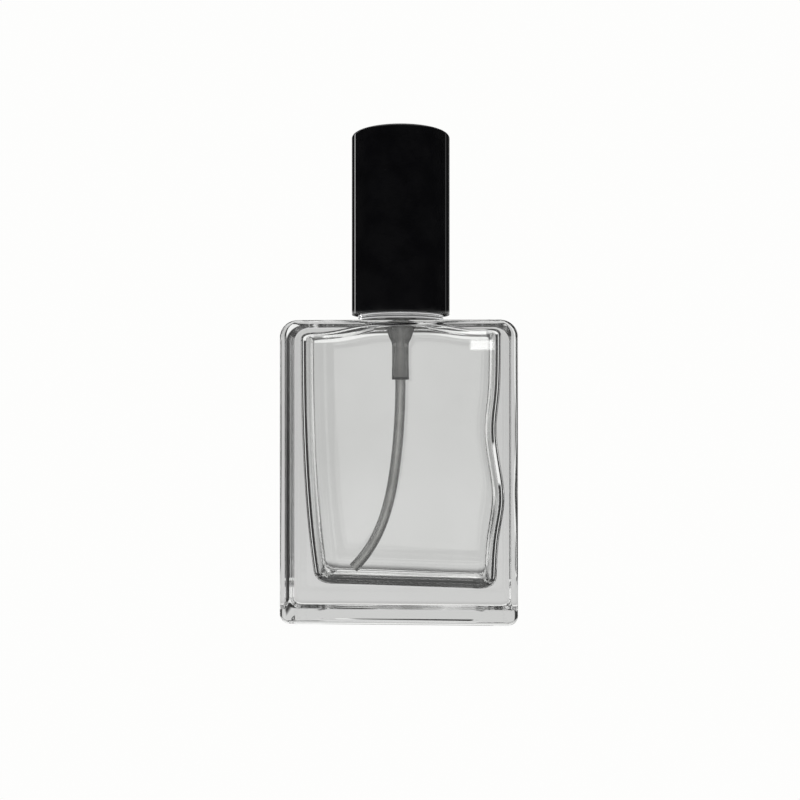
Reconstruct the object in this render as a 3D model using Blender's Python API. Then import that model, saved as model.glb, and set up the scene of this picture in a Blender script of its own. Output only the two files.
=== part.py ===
"""A 30 ml rectangular glass spray bottle for aftershave, with a screw-on pump and a tall pull-off overcap.

Metres, +Z up. The origin is on the resting surface, under the axis of the neck.
+X runs across the wide front, and the front of the bottle faces -Y.
"""

import math

import bmesh
import bpy
from mathutils import Matrix, Vector

mm = 0.001

# ---- driving dimensions ----------------------------------------------------------------------
body_width = 43.6 * mm
body_depth = 25.0 * mm
body_height = 56.0 * mm
base_thickness = 6.6 * mm
face_wall = 3.2 * mm
neck_height = 13.0 * mm
neck_radius = 6.45 * mm
neck_bore_radius = 4.3 * mm
thread_crest_radius = 7.2 * mm
thread_pitch = 2.1167 * mm
cap_radius = 9.5 * mm
cap_height = 34.8 * mm
cap_lift_off_shoulder = 1.5 * mm
press_travel = 4.0 * mm
unscrew_turns = 1.5

# ---- fits ------------------------------------------------------------------------------------
seated = 0.05 * mm      # between pieces that rest on or grip each other
sliding = 0.10 * mm     # between pieces that move past each other
thread_slack = 0.20 * mm

# ---- the stack of pieces on the neck, from the glass upwards -----------------------------------
neck_top = body_height + neck_height
gasket_thickness = 0.8 * mm
flange_thickness = 0.9 * mm
flange_radius = 6.2 * mm
plate_thickness = 1.0 * mm
gasket_z = neck_top + seated
housing_flange_z = gasket_z + gasket_thickness + seated
turret_flange_z = housing_flange_z + flange_thickness + seated
closure_plate_z = turret_flange_z + flange_thickness + seated
closure_top = closure_plate_z + plate_thickness
collar_top = closure_top + seated + 0.3 * mm

# ---- pump ------------------------------------------------------------------------------------
chamber_outer_radius = 3.7 * mm
chamber_bore_radius = 2.95 * mm
tail_z = 45.0 * mm
tail_radius = 1.65 * mm
tube_radius = 1.0 * mm
tube_wall = 0.36 * mm
tube_socket_top = 51.2 * mm
seat_z = 54.0 * mm
ball_radius = 1.0 * mm
ball_z = 54.98 * mm
spring_ledge_z = 57.6 * mm
core_head_z = 64.6 * mm
piston_z = 65.6 * mm
piston_height = 2.8 * mm
stem_radius = 1.6 * mm
stem_bore_radius = 0.6 * mm
stem_z = 65.5 * mm
stem_top = 84.8 * mm
stem_gasket_z = 68.6 * mm
stem_gasket_thickness = 0.6 * mm
turret_plug_z = 69.3 * mm
chimney_radius = 3.1 * mm
chimney_top = 75.4 * mm

# ---- spray button ------------------------------------------------------------------------------
button_radius = 6.3 * mm
button_z = collar_top + press_travel + 0.4 * mm
button_height = 10.4 * mm
boss_z = chimney_top + press_travel + 0.4 * mm
nozzle_z = 85.0 * mm
nozzle_radius = 1.95 * mm

# ---- how finely round shapes are cut -----------------------------------------------------------
fine_round = 40
small_round = 24
turn_steps = 30


# ---- materials ---------------------------------------------------------------------------------
def material(name, colour, roughness, metallic=0.0, transmission=0.0, coat=0.0):
    made = bpy.data.materials.new(name)
    made.use_nodes = True
    shader = made.node_tree.nodes["Principled BSDF"]
    shader.inputs["Base Color"].default_value = (*colour, 1.0)
    shader.inputs["Roughness"].default_value = roughness
    shader.inputs["Metallic"].default_value = metallic
    shader.inputs["Transmission Weight"].default_value = transmission
    shader.inputs["Coat Weight"].default_value = coat
    return made


def make_materials():
    return {
        "glass": material("clear_glass", (0.90, 0.91, 0.90), 0.02, transmission=1.0),
        "cap": material("gloss_black_aluminium", (0.004, 0.004, 0.005), 0.08, coat=0.6),
        "liner": material("black_liner_plastic", (0.02, 0.02, 0.022), 0.45),
        "collar": material("silver_aluminium", (0.82, 0.82, 0.83), 0.22, metallic=1.0),
        "white": material("white_plastic", (0.80, 0.80, 0.78), 0.40),
        "button": material("black_button_plastic", (0.012, 0.012, 0.013), 0.25),
        "natural": material("natural_plastic", (0.55, 0.56, 0.55), 0.35, transmission=0.6),
        "tube": material("dip_tube_plastic", (0.66, 0.67, 0.66), 0.30, transmission=0.7),
        "rubber": material("grey_gasket_rubber", (0.42, 0.40, 0.40), 0.75),
        "steel": material("stainless_steel", (0.62, 0.62, 0.63), 0.25, metallic=1.0),
    }


# ---- shape tools -------------------------------------------------------------------------------
def clear_scene():
    for old in list(bpy.data.objects):
        bpy.data.objects.remove(old, do_unlink=True)


def axis_empty(name, height, parent=None):
    """An empty on the bottle's axis, at a height in the world, that a moving body hangs on."""
    empty = bpy.data.objects.new(name, None)
    bpy.context.scene.collection.objects.link(empty)
    empty.empty_display_size = 5 * mm
    empty.parent = parent
    empty.location.z = height - (world_height(parent) if parent else 0.0)
    return empty


def world_height(item):
    height = 0.0
    while item is not None:
        height += item.location.z
        item = item.parent
    return height


def add_object(name, bm, finish=None, parent=None, height=0.0):
    """A mesh object from a bmesh whose points are relative to that height on the axis."""
    bmesh.ops.remove_doubles(bm, verts=bm.verts, dist=0.0001 * mm)
    bmesh.ops.recalc_face_normals(bm, faces=bm.faces)
    mesh = bpy.data.meshes.new(name)
    bm.to_mesh(mesh)
    bm.free()
    mesh.shade_smooth()
    mesh.set_sharp_from_angle(angle=math.radians(35))
    if finish:
        mesh.materials.append(finish)
    made = bpy.data.objects.new(name, mesh)
    bpy.context.scene.collection.objects.link(made)
    made.parent = parent
    made.location.z = height - (world_height(parent) if parent else 0.0)
    return made


def turned(outline, steps=fine_round, closed=True):
    """A bmesh turned about Z from (radius, height) points; a closed outline leaves a bore."""
    bm = bmesh.new()
    points = [bm.verts.new((radius, 0, height)) for radius, height in outline]
    pairs = list(zip(points, points[1:]))
    if closed:
        pairs.append((points[-1], points[0]))
    edges = [bm.edges.new(pair) for pair in pairs]
    bmesh.ops.spin(
        bm, geom=points + edges, cent=(0, 0, 0), axis=(0, 0, 1),
        angle=2 * math.pi, steps=steps, use_merge=True, use_duplicate=False,
    )
    return bm


def arc(centre, radius, start, end, steps):
    """(radius, height) points on an arc, with its angles in degrees from the outward direction."""
    turns = [math.radians(start + (end - start) * i / steps) for i in range(steps + 1)]
    return [(centre[0] + radius * math.cos(t), centre[1] + radius * math.sin(t)) for t in turns]


def add_turned(name, outline, finish, parent, height, steps=fine_round):
    return add_object(name, turned(outline, steps), finish, parent, height)


def cut(target, cutter, operation="DIFFERENCE"):
    """Takes the cutter away from the target, or joins it on, and keeps the cutter as a hidden guide."""
    step = target.modifiers.new(operation.lower() + "_" + cutter.name, "BOOLEAN")
    step.operation = operation
    step.object = cutter
    step.solver = "EXACT"
    cutter.hide_render = True
    cutter.display_type = "WIRE"


def rounded_rectangle(left, right, front, back, corner, height, corner_steps=5):
    """Points round a rectangle with arc corners, with spare points along its sides."""
    centres = [
        (right - corner, back - corner), (left + corner, back - corner),
        (left + corner, front + corner), (right - corner, front + corner),
    ]
    points = []
    for quarter, (cx, cy) in enumerate(centres):
        for i in range(corner_steps + 1):
            turn = math.radians(90 * (quarter + i / corner_steps))
            points.append(Vector((cx + corner * math.cos(turn), cy + corner * math.sin(turn), height)))
        after = centres[(quarter + 1) % 4]
        next_turn = math.radians(90 * (quarter + 1))
        start = points[-1]
        end = Vector((
            after[0] + corner * math.cos(next_turn), after[1] + corner * math.sin(next_turn), height,
        ))
        spare = 5 if quarter % 2 == 0 else 2
        points += [start.lerp(end, i / (spare + 1)) for i in range(1, spare + 1)]
    return points


def lofted(rings):
    """A closed bmesh through rings that have the same number of points, from the lowest up."""
    bm = bmesh.new()
    loops = []
    for ring in rings:
        points = [bm.verts.new(p) for p in ring]
        loops.append([bm.edges.new((a, b)) for a, b in zip(points, points[1:] + points[:1])])
    for below, above in zip(loops, loops[1:]):
        bmesh.ops.bridge_loops(bm, edges=below + above)
    for loop in (loops[0], loops[-1]):
        bmesh.ops.contextual_create(bm, geom=loop)
    return bm


def helical_ridge(root, crest, root_width, crest_width, start_height, turns, lead_in=1 / 6):
    """A thread ridge wound about Z, fading in and out of its root over part of a turn at each end."""
    bm = bmesh.new()
    steps = round(turns * turn_steps)
    loops = []
    for i in range(steps + 1):
        share = min(1.0, min(i, steps - i) / (lead_in * turn_steps) + 0.15)
        tip = root + (crest - root) * share
        turn = 2 * math.pi * i / turn_steps
        middle = start_height + thread_pitch * i / turn_steps
        section = [
            (root, -root_width / 2), (tip, -crest_width / 2), (tip, crest_width / 2), (root, root_width / 2),
        ]
        points = [
            bm.verts.new((radius * math.cos(turn), radius * math.sin(turn), middle + rise))
            for radius, rise in section
        ]
        loops.append([bm.edges.new((a, b)) for a, b in zip(points, points[1:] + points[:1])])
    for near, far in zip(loops, loops[1:]):
        bmesh.ops.bridge_loops(bm, edges=near + far)
    for loop in (loops[0], loops[-1]):
        bmesh.ops.contextual_create(bm, geom=loop)
    return bm


# ---- the glass ---------------------------------------------------------------------------------
shoulder_drop = 0.3 * mm      # the shoulder falls this much from the neck to its edge
crown_radius = 8.6 * mm       # the nearly flat ring that the neck stands on
crown_drop = 0.05 * mm
top_corner_radius = 3.2 * mm      # of the outline seen square on
base_corner_radius = 1.8 * mm
top_edge_radius = 0.8 * mm        # where the front and back faces turn over
base_edge_radius = 1.2 * mm
outer_corner_radius = 1.4 * mm    # of the upright edges
least_corner_radius = 0.7 * mm
cavity_corner_radius = 2.8 * mm
cavity_floor_radius = 2.2 * mm
cavity_top_radius = 1.2 * mm
cavity_top_z = 53.9 * mm
floor_slope_drop = 0.55 * mm  # how much lower the hollow's floor is at the right face than on the axis
roof_slope_rise = 0.45 * mm   # and how much higher its roof is there
roof_arch = 1.4 * mm          # the roof's rise towards the neck
roof_arch_reach = 10.5 * mm
mouth_rise = 2.3 * mm
recess_margin = 4.5 * mm
recess_depth = 0.35 * mm
thread_start_z = 61.0 * mm


def edge_steps(radius, count=4):
    """(inset, rise) pairs up a rounded edge, from flat to upright."""
    turns = [math.pi / 2 * i / count for i in range(count + 1)]
    return [(radius * (1 - math.sin(t)), radius * (1 - math.cos(t))) for t in turns]


def edge_inset(radius, reach):
    """How far a rounded edge stands in, at that reach from the plane it turns over to."""
    return radius - math.sqrt(radius ** 2 - (radius - min(reach, radius)) ** 2)


def body_ring(side_radius, face_radius, reach, height):
    side_inset, face_inset = edge_inset(side_radius, reach), edge_inset(face_radius, reach)
    half_width = body_width / 2 - side_inset
    half_depth = body_depth / 2 - face_inset
    corner = outer_corner_radius - (outer_corner_radius - least_corner_radius) * face_inset / face_radius
    return rounded_rectangle(-half_width, half_width, -half_depth, half_depth, corner, height)


def hollow_share(height):
    """How far down the hollow a height is, from 0 at its roof."""
    return max(0.0, (cavity_top_z - height) / cavity_top_z)


def swell(share, centre, reach):
    return math.exp(-((share - centre) / reach) ** 2)


def left_wall(height):
    """The hollow's left side, which leans in towards the base."""
    return -(18.3 * mm - 3.8 * mm * hollow_share(height) ** 2.6)


def right_wall(height):
    """The hollow's right side, which blowing left wavy: in above the middle, out below it."""
    share = hollow_share(height)
    waves = 1.03 * mm * swell(share, 0.58, 0.11) - 0.68 * mm * swell(share, 0.335, 0.105)
    return 18.9 * mm - 1.15 * mm * share ** 2 + waves


def cavity_ring(inset, height):
    front = -(body_depth / 2 - face_wall) + inset
    corner = max(cavity_corner_radius - 0.6 * inset, 0.8 * mm)
    return rounded_rectangle(
        left_wall(height) + inset, right_wall(height) - inset, front, -front, corner, height,
    )


def uneven(point):
    """The hollow's floor is lower on the right, and its roof is higher there and arches to the neck."""
    fades_over = 8 * mm
    sideways = point.x / (body_width / 2)
    near_floor = max(0.0, 1 - (point.z - base_thickness) / fades_over)
    near_roof = max(0.0, 1 - (cavity_top_z - point.z) / fades_over)
    arch = roof_arch * math.exp(-(point.x / roof_arch_reach) ** 4)
    point.z += near_roof ** 2 * (roof_slope_rise * sideways + arch) - near_floor * floor_slope_drop * sideways
    return point


def round_ring(ring, radius, height):
    """A circle with a point for each of a ring's, at the same bearing from the axis."""
    return [
        Vector((radius * math.cos(a), radius * math.sin(a), height))
        for a in (math.atan2(p.y, p.x) for p in ring)
    ]


def glass_outside(finish):
    steps = 7
    edge_z = body_height - shoulder_drop
    rings = []
    for i in range(steps + 1):
        reach = base_corner_radius * (i / steps) ** 2
        rings.append(body_ring(base_corner_radius, base_edge_radius, reach, reach))
    for share in (0.3, 0.6):
        rings.append(body_ring(top_corner_radius, top_edge_radius, body_height, body_height * share))
    for i in reversed(range(steps + 1)):
        reach = top_corner_radius * (i / steps) ** 2
        rings.append(body_ring(top_corner_radius, top_edge_radius, reach, edge_z - reach))
    crown = round_ring(rings[-1], crown_radius, body_height - crown_drop)
    rings.append(crown)
    rings.append(round_ring(crown, neck_radius - 0.4 * mm, body_height))
    return add_object("glass_bottle", lofted(rings), finish)


def glass_cavity():
    first, last = base_thickness + cavity_floor_radius, cavity_top_z - cavity_top_radius
    levels = 18
    rings = [cavity_ring(inset, base_thickness + rise) for inset, rise in edge_steps(cavity_floor_radius)]
    rings += [cavity_ring(0, first + (last - first) * i / levels) for i in range(1, levels + 1)]
    top_edge = reversed(edge_steps(cavity_top_radius, 3))
    rings += [cavity_ring(inset, cavity_top_z - rise) for inset, rise in top_edge][1:]
    rings = [[uneven(point) for point in ring] for ring in rings]
    edge = rings[-1]
    mouth = round_ring(edge, neck_bore_radius + 0.5 * mm, cavity_top_z + mouth_rise)
    for share in (0.3, 0.6, 0.85, 1.0):
        ring = []
        for start, end in zip(edge, mouth):
            point = start.lerp(end, share)
            point.z = start.z + (end.z - start.z) * share ** 3
            ring.append(point)
        rings.append(ring)
    return add_object("cavity_cutter", lofted(rings))


def make_glass(finish):
    glass = glass_outside(finish)
    root = 0.9 * mm
    neck = turned([
        (2.0 * mm, -3.0 * mm), (neck_radius + root, -3.0 * mm), (neck_radius + root, -0.2 * mm),
        (neck_radius + 0.3 * root, 0.3 * root), (neck_radius, root), (neck_radius, neck_height - 0.4 * mm),
        (neck_radius - 0.4 * mm, neck_height), (2.0 * mm, neck_height),
    ])
    cut(glass, add_object("neck_guide", neck, height=body_height), "UNION")
    ridge = helical_ridge(
        neck_radius - 0.3 * mm, thread_crest_radius, 1.15 * mm, 0.45 * mm, 0, unscrew_turns,
    )
    cut(glass, add_object("neck_thread_guide", ridge, height=thread_start_z), "UNION")
    cut(glass, glass_cavity())
    flare = 1.0 * mm
    bore = turned([
        (0, -4.0 * mm), (neck_bore_radius + flare, -4.0 * mm), (neck_bore_radius + flare, 0),
        (neck_bore_radius + 0.3 * flare, 0.9 * mm), (neck_bore_radius, 2.2 * mm),
        (neck_bore_radius, neck_height + 1 * mm), (0, neck_height + 1 * mm),
    ], closed=False)
    cut(glass, add_object("bore_cutter", bore, height=body_height))
    half_width, half_depth = body_width / 2 - recess_margin, body_depth / 2 - recess_margin
    push_up = lofted([
        rounded_rectangle(-half_width + i, half_width - i, -half_depth + i, half_depth - i, 3 * mm - i, z)
        for i, z in ((0, -1.0 * mm), (0.1 * mm, 0.0), (0.9 * mm, recess_depth))
    ])
    cut(glass, add_object("base_recess_cutter", push_up))


# ---- the pump ----------------------------------------------------------------------------------
def make_pump(finish, parent):
    gasket_bore = chamber_outer_radius + thread_slack
    add_turned("neck_gasket", [
        (gasket_bore, 0), (flange_radius, 0), (flange_radius, gasket_thickness),
        (gasket_bore, gasket_thickness),
    ], finish["rubber"], parent, gasket_z)
    make_housing(finish["natural"], parent)
    make_turret(finish["white"], parent)
    lip, rim = stem_radius + sliding, chamber_bore_radius - seated
    add_turned("stem_gasket", [
        (lip, 0), (rim, 0), (rim, stem_gasket_thickness), (lip, stem_gasket_thickness),
    ], finish["rubber"], parent, stem_gasket_z, small_round)
    make_dip_tube(finish["tube"], parent)


def make_housing(finish, parent):
    """The pump body: a tail for the dip tube, the ball's seat, the chamber and a flange."""
    flange_top = housing_flange_z + flange_thickness
    outline = [
        (tube_radius + seated, tail_z), (tail_radius, tail_z), (tail_radius, 52.0 * mm),
        (1.85 * mm, 52.5 * mm), (2.18 * mm, 53.1 * mm), (2.44 * mm, 53.9 * mm), (2.62 * mm, 54.8 * mm),
        (3.1 * mm, 56.6 * mm), (chamber_outer_radius, 58.4 * mm),
        (chamber_outer_radius, housing_flange_z), (flange_radius, housing_flange_z),
        (flange_radius, flange_top), (chamber_bore_radius, flange_top),
        (chamber_bore_radius, spring_ledge_z), (1.35 * mm, spring_ledge_z), (1.35 * mm, seat_z + 1.2 * mm),
        (0.6 * mm, seat_z), (0.6 * mm, tube_socket_top), (tube_radius + seated, tube_socket_top),
    ]
    lowered = [(radius, height - tail_z) for radius, height in outline]
    add_turned("pump_housing", lowered, finish, parent, tail_z, 32)


def make_turret(finish, parent):
    """The moulding that closes the pump and guides the stem up its chimney."""
    guide = stem_radius + 0.15 * mm
    outline = [
        (guide, turret_plug_z), (chamber_bore_radius - seated, turret_plug_z),
        (chamber_bore_radius - seated, turret_flange_z), (flange_radius, turret_flange_z),
        (flange_radius, turret_flange_z + flange_thickness),
        (chimney_radius, turret_flange_z + flange_thickness), (chimney_radius, chimney_top - 0.3 * mm),
        (chimney_radius - 0.3 * mm, chimney_top), (guide, chimney_top),
    ]
    lowered = [(radius, height - turret_plug_z) for radius, height in outline]
    add_turned("turret", lowered, finish, parent, turret_plug_z, 32)


def make_dip_tube(finish, parent):
    """A soft tube with a set in it: it leaves the tail straight and curls off to the left."""
    top = tube_socket_top - 0.3 * mm
    straight_to = tail_z - 0.4 * mm
    bottom = 8.5 * mm
    lean, curl = 3.6e-3 / mm, 2.0e-9 / mm ** 5
    count = 22
    path = bpy.data.curves.new("dip_tube", "CURVE")
    path.dimensions = "3D"
    path.bevel_depth = tube_radius
    path.bevel_resolution = 2
    path.use_fill_caps = False
    line = path.splines.new("POLY")
    line.points.add(count)
    for i in range(count + 1):
        height = top if i == 0 else straight_to + (bottom - straight_to) * (i - 1) / (count - 1)
        down = max(0.0, straight_to - height)
        aside = -lean * down ** 2 - curl * down ** 6
        line.points[i].co = (aside, 0, height - tail_z, 1)
    path.materials.append(finish)
    tube = bpy.data.objects.new("dip_tube", path)
    bpy.context.scene.collection.objects.link(tube)
    tube.parent = parent
    tube.location.z = tail_z - world_height(parent)
    wall = tube.modifiers.new("wall", "SOLIDIFY")
    wall.thickness = tube_wall
    wall.offset = -1
    wall.use_rim = True


def make_inlet_ball(finish, parent):
    ball = bmesh.new()
    bmesh.ops.create_uvsphere(ball, u_segments=16, v_segments=10, radius=ball_radius)
    add_object("inlet_ball", ball, finish, parent, ball_z)


# ---- what the finger pushes --------------------------------------------------------------------
def make_plunger(finish, parent, spring_parent):
    add_turned("stem", [
        (stem_bore_radius, 0), (stem_radius, 0), (stem_radius, stem_top - stem_z),
        (stem_bore_radius, stem_top - stem_z),
    ], finish["white"], parent, stem_z, small_round)
    lip, waist = chamber_bore_radius - seated, 2.45 * mm
    bore = stem_radius + seated
    add_turned("piston", [
        (bore, 0), (2.2 * mm, 0), (lip, 0.15 * mm), (lip, 0.6 * mm), (waist, 1.0 * mm),
        (waist, piston_height - 0.9 * mm), (lip, piston_height - 0.5 * mm), (lip, piston_height),
        (bore, piston_height),
    ], finish["natural"], parent, piston_z, small_round)
    make_plunger_core(finish["white"], parent)
    make_spring(finish["steel"], spring_parent)


def make_plunger_core(finish, parent):
    """A solid pin under the stem, whose head the spring pushes on and whose spigot enters the stem."""
    core = turned([
        (0, -3.3 * mm), (1.0 * mm, -3.3 * mm), (1.3 * mm, -3.0 * mm), (1.3 * mm, 0), (2.7 * mm, 0),
        (2.7 * mm, 0.8 * mm), (stem_bore_radius - sliding, 0.8 * mm), (stem_bore_radius - sliding, 2.6 * mm),
        (0, 2.6 * mm),
    ], small_round, closed=False)
    made = add_object("plunger_core", core, finish, parent, core_head_z)
    slot = bmesh.new()
    slot_place = Matrix.Translation((0, 0, 2.1 * mm)) @ Matrix.Diagonal((6 * mm, 0.35 * mm, 3 * mm, 1))
    bmesh.ops.create_cube(slot, size=1, matrix=slot_place)
    cut(made, add_object("outlet_slot_cutter", slot, parent=parent, height=core_head_z))


def make_spring(finish, parent):
    """A compression spring on the housing's ledge, with its end coils closed up."""
    wire, coil = 0.2 * mm, 2.2 * mm
    low, high = spring_ledge_z + wire + seated, core_head_z - wire - seated
    turns, steps_a_turn = 5.5, 14
    count = round(turns * steps_a_turn)
    path = bpy.data.curves.new("return_spring", "CURVE")
    path.dimensions = "3D"
    path.bevel_depth = wire
    path.bevel_resolution = 1
    path.use_fill_caps = True
    line = path.splines.new("POLY")
    line.points.add(count)
    closed_turns = 0.75
    end_rise = 0.46 * mm
    for i in range(count + 1):
        done = turns * i / count
        if done < closed_turns:
            height = low + end_rise * done
        elif done > turns - closed_turns:
            height = high - end_rise * (turns - done)
        else:
            share = (done - closed_turns) / (turns - 2 * closed_turns)
            height = low + end_rise * closed_turns
            height += share * (high - low - 2 * end_rise * closed_turns)
        turn = 2 * math.pi * done
        line.points[i].co = (coil * math.cos(turn), coil * math.sin(turn), height - spring_ledge_z, 1)
    path.materials.append(finish)
    spring = bpy.data.objects.new("return_spring", path)
    bpy.context.scene.collection.objects.link(spring)
    spring.parent = parent
    spring.location.z = spring_ledge_z - world_height(parent)


def make_button(finish, parent):
    """The finger button: a skirt over the chimney, a boss that grips the stem, and the nozzle's pocket."""
    skirt_bore = 5.4 * mm
    boss_radius = 2.9 * mm
    roof = 5.0 * mm
    edge = 0.8 * mm
    dish = 0.35 * mm
    socket_top = nozzle_z + 0.6 * mm - button_z
    outline = [(skirt_bore, 0), (button_radius, 0)]
    outline += arc((button_radius - edge, button_height - edge), edge, 0, 90, 4)
    outline += [(2.5 * mm, button_height - 0.8 * dish), (0, button_height - dish)]
    outline += [(0, socket_top), (stem_radius + seated, socket_top)]
    outline += [(stem_radius + seated, boss_z - button_z), (boss_radius, boss_z - button_z)]
    outline += [(boss_radius, roof), (skirt_bore, roof)]
    bm = bmesh.new()
    points = [bm.verts.new((radius, 0, height)) for radius, height in outline]
    edges = [bm.edges.new(pair) for pair in zip(points, points[1:])]
    edges.append(bm.edges.new((points[-1], points[0])))
    on_axis = [e for e in edges if all(v.co.x == 0 for v in e.verts)]
    bmesh.ops.delete(bm, geom=on_axis, context="EDGES")
    bmesh.ops.spin(
        bm, geom=list(bm.verts) + list(bm.edges), cent=(0, 0, 0), axis=(0, 0, 1),
        angle=2 * math.pi, steps=fine_round, use_merge=True, use_duplicate=False,
    )
    button = add_object("spray_button", bm, finish["button"], parent, button_z)
    pocket = bmesh.new()
    toward_front = Matrix.Rotation(math.radians(90), 4, "X")
    bmesh.ops.create_cone(
        pocket, cap_ends=True, segments=small_round, radius1=nozzle_radius + seated,
        radius2=nozzle_radius + seated, depth=4.0 * mm,
        matrix=Matrix.Translation((0, -6.1 * mm, 0)) @ toward_front,
    )
    cut(button, add_object("nozzle_pocket_cutter", pocket, height=nozzle_z))
    channel = bmesh.new()
    bmesh.ops.create_cone(
        channel, cap_ends=True, segments=12, radius1=0.35 * mm, radius2=0.35 * mm, depth=4.0 * mm,
        matrix=Matrix.Translation((0, -3.2 * mm, 0)) @ toward_front,
    )
    cut(button, add_object("spray_channel_cutter", channel, height=nozzle_z + 0.1 * mm))
    make_nozzle(finish["white"], parent)


def make_nozzle(finish, parent):
    """The pressed-in spray insert, with a dished face, a fine orifice and a swirl chamber behind it."""
    front, back = 1.85 * mm, 0.0
    insert = turned([
        (0.7 * mm, back), (nozzle_radius - 0.15 * mm, back), (nozzle_radius, 0.2 * mm),
        (nozzle_radius, front - 0.1 * mm), (nozzle_radius - 0.1 * mm, front), (0.9 * mm, front),
        (0.18 * mm, front - 0.55 * mm), (0.18 * mm, 0.8 * mm), (0.7 * mm, 0.5 * mm),
    ], small_round)
    made = add_object("nozzle_insert", insert, finish, parent, nozzle_z)
    made.location.y = -(4.1 * mm + seated)
    made.rotation_euler.x = math.radians(90)


# ---- closure and overcap -----------------------------------------------------------------------
def make_closure(finish, parent):
    """The threaded ring that holds the pump down, and the silver shell crimped over it."""
    skirt_z = body_height + 0.8 * mm
    bore = thread_crest_radius + thread_slack
    outer = 7.95 * mm
    height = closure_top - skirt_z
    ring = add_turned("closure_ring", [
        (bore, 0), (outer, 0), (outer, height - 0.3 * mm), (outer - 0.3 * mm, height),
        (chimney_radius + thread_slack, height), (chimney_radius + thread_slack, height - plate_thickness),
        (bore, height - plate_thickness),
    ], finish["white"], parent, skirt_z)
    ridge = helical_ridge(bore + 0.3 * mm, 6.7 * mm, 1.05 * mm, 0.42 * mm, 0, 1.25)
    guide_z = thread_start_z - thread_pitch / 2
    cut(ring, add_object("closure_thread_guide", ridge, height=guide_z, parent=parent), "UNION")
    inner, shell_outer = outer + seated, 8.3 * mm
    shell_z = body_height + 0.35 * mm
    top = collar_top - shell_z
    roll = 0.45 * mm
    bead, groove = 0.55 * mm, 0.12 * mm
    outline = [(inner, 0), (shell_outer, 0), (shell_outer, bead), (shell_outer - groove, bead + groove)]
    outline += [(shell_outer - groove, bead + 1.5 * groove), (shell_outer, bead + 2.5 * groove)]
    outline += arc((shell_outer - roll, top - roll), roll, 0, 90, 4)
    outline += [(4.0 * mm, top), (4.0 * mm, top - 0.3 * mm), (inner, top - 0.3 * mm)]
    add_turned("collar_shell", outline, finish["collar"], parent, shell_z)


def make_overcap(finish, parent):
    cap_z = body_height + cap_lift_off_shoulder
    shell_bore = cap_radius - 0.42 * mm
    top_wall = 0.6 * mm
    edge = 0.55 * mm
    outline = [(shell_bore, 0), (cap_radius - 0.12 * mm, 0), (cap_radius, 0.12 * mm)]
    outline += arc((cap_radius - edge, cap_height - edge), edge, 0, 90, 4)
    outline += [(0, cap_height)]
    outline += [(0, cap_height - top_wall), (shell_bore, cap_height - top_wall)]
    add_object("cap_shell", open_turned(outline), finish["cap"], parent, cap_z)
    make_liner(finish["liner"], parent, cap_z, shell_bore - seated, cap_height - top_wall - seated)


def open_turned(outline):
    """A bmesh turned from an outline that meets the axis on two levels, such as a cup's."""
    start = next(i for i, (radius, _) in enumerate(outline) if radius == 0)
    around = outline[start + 1:] + outline[:start + 1]
    return turned(around, fine_round, closed=False)


def make_liner(finish, parent, cap_z, outer, top):
    """The plastic lining inside the cap, with ribs that grip the collar."""
    bore = outer - 0.42 * mm
    recess = 0.4 * mm
    roof = 0.9 * mm
    outline = [(bore, recess), (outer, recess), (outer, top), (0, top), (0, top - roof), (bore, top - roof)]
    liner = add_object("cap_liner", open_turned(outline), finish, parent, cap_z)
    rib_reach, rib_width, rib_length = 8.37 * mm, 0.8 * mm, 12 * mm
    for i in range(8):
        rib = bmesh.new()
        depth = bore + 0.2 * mm - rib_reach
        place = Matrix.Rotation(2 * math.pi * (i + 0.5) / 8, 4, "Z")
        place @= Matrix.Translation((rib_reach + depth / 2, 0, 1.5 * mm + rib_length / 2))
        size = Matrix.Diagonal((depth, rib_width, rib_length, 1))
        bmesh.ops.create_cube(rib, size=1, matrix=place @ size)
        cut(liner, add_object(f"liner_rib_guide_{i + 1}", rib, height=cap_z, parent=parent), "UNION")


def main():
    clear_scene()
    finish = make_materials()
    make_glass(finish["glass"])
    pump = axis_empty("pump_axis", neck_top)
    make_pump(finish, pump)
    make_inlet_ball(finish["steel"], axis_empty("inlet_valve_axis", ball_z, pump))
    plunger = axis_empty("plunger_axis", stem_z, pump)
    make_plunger(finish, plunger, pump)
    make_button(finish, axis_empty("button_axis", button_z, plunger))
    closure = axis_empty("closure_axis", closure_plate_z, pump)
    make_closure(finish, closure)
    make_overcap(finish, axis_empty("overcap_axis", body_height, closure))


main()
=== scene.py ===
import math

import bmesh
import bpy
from mathutils import Matrix, Vector


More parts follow.
